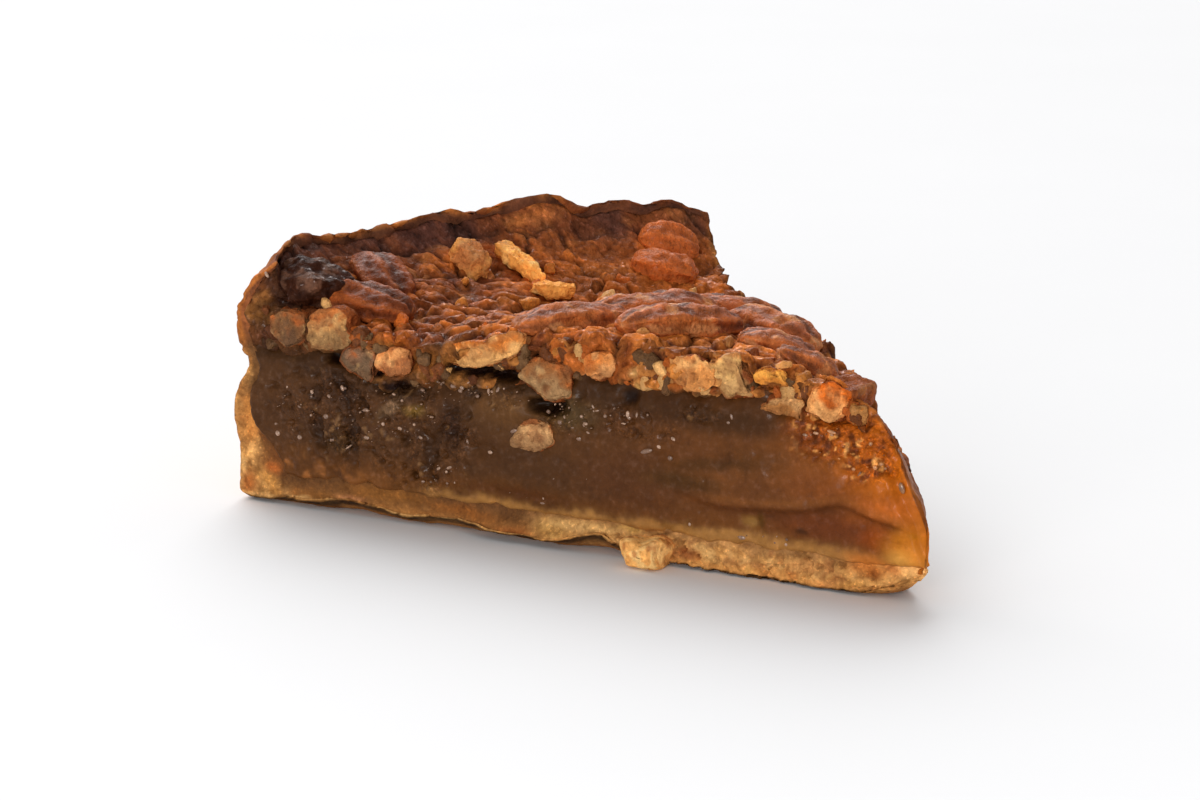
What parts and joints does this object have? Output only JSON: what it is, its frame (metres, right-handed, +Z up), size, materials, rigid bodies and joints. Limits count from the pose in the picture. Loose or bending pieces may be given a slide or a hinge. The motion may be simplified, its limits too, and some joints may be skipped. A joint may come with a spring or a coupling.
{
  "type": "slice of pecan pie",
  "caption": "Cut wedge of pecan pie: fluted shortcrust, dark set filling, and a caramel top full of chopped pecans.",
  "frame": {"origin": "middle of the underside: the bottom centre of the slice's bounding box, on the surface it rests on", "axes": "+X to the tip of the slice and -X to its rim, +Z up, the near cut of the picture on the -Y side"},
  "size_m": [0.1148, 0.0888, 0.0392],
  "materials": {
    "crust": "dry golden shortcrust with browned flecks",
    "filling": "moist dark brown set filling, amber at the tip",
    "caramel_nuts": "glossy baked caramel over chopped pecans",
    "cut_nut": "pale broken nut flesh with brown skin",
    "glazed_pecan": "red-brown ridged pecan skin under a thin glaze",
    "crumb": "dry orange-brown crumb"
  },
  "bodies": {
    "root": {"crust": "crust", "filling": "filling", "nut_layer": "caramel_nuts", "near_cut_nut_01": "cut_nut", "near_cut_nut_02": "cut_nut", "near_cut_nut_03": "cut_nut", "near_cut_nut_04": "cut_nut", "near_cut_nut_05": "cut_nut", "near_cut_nut_06": "cut_nut", "near_cut_nut_07": "cut_nut", "near_cut_nut_08": "cut_nut", "near_cut_nut_09": "cut_nut", "near_cut_nut_10": "cut_nut", "near_cut_nut_11": "cut_nut", "near_cut_nut_12": "cut_nut", "near_cut_nut_13": "cut_nut", "far_cut_nut_01": "cut_nut", "far_cut_nut_02": "cut_nut", "far_cut_nut_03": "cut_nut", "far_cut_nut_04": "cut_nut", "far_cut_nut_05": "cut_nut", "top_pecan_01": "glazed_pecan", "top_pecan_02": "glazed_pecan", "top_pecan_03": "glazed_pecan", "top_pecan_04": "glazed_pecan", "top_pecan_05": "glazed_pecan", "top_pecan_06": "glazed_pecan", "top_pecan_07": "glazed_pecan", "top_pecan_08": "glazed_pecan", "top_pecan_09": "glazed_pecan", "top_pecan_10": "glazed_pecan", "top_pecan_11": "glazed_pecan", "top_crumb_01": "crumb", "top_crumb_02": "crumb", "top_crumb_03": "crumb"}
  },
  "joints": []
}
